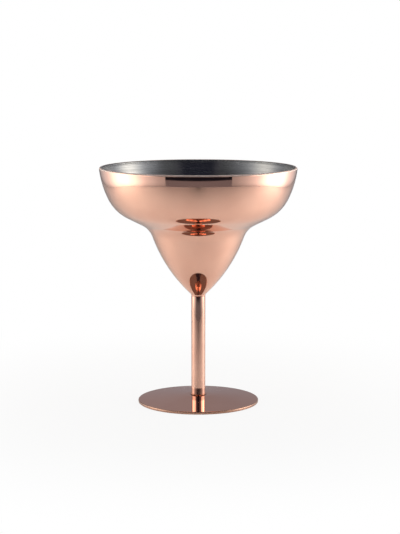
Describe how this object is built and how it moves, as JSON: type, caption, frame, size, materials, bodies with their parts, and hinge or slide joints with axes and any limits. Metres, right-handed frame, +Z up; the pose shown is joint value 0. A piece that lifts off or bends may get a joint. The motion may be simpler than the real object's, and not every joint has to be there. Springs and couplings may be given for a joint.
{
  "type": "margarita glass",
  "caption": "Copper-plated steel margarita glass: wide waisted bowl with a pointed cup below, straight tube stem and shallow conical round foot.",
  "frame": {"origin": "on the glass's axis, in the plane that the foot stands on", "axes": "+Z up along the axis of the stem, towards the lip"},
  "size_m": [0.117, 0.117, 0.1412],
  "materials": {
    "copper_plate": "mirror-polished copper plate on steel; the inside of the bowl is left as satin spun steel",
    "plain_steel": "turned steel, hidden inside the stem",
    "braze": "dressed braze fillet, plated over"
  },
  "bodies": {
    "root": {"bowl": "copper_plate", "bowl_stud": "plain_steel", "bowl_braze_ring": "braze", "stem_tube": "copper_plate", "foot_braze_ring": "braze", "foot_stud": "plain_steel", "foot": "copper_plate"}
  },
  "joints": []
}
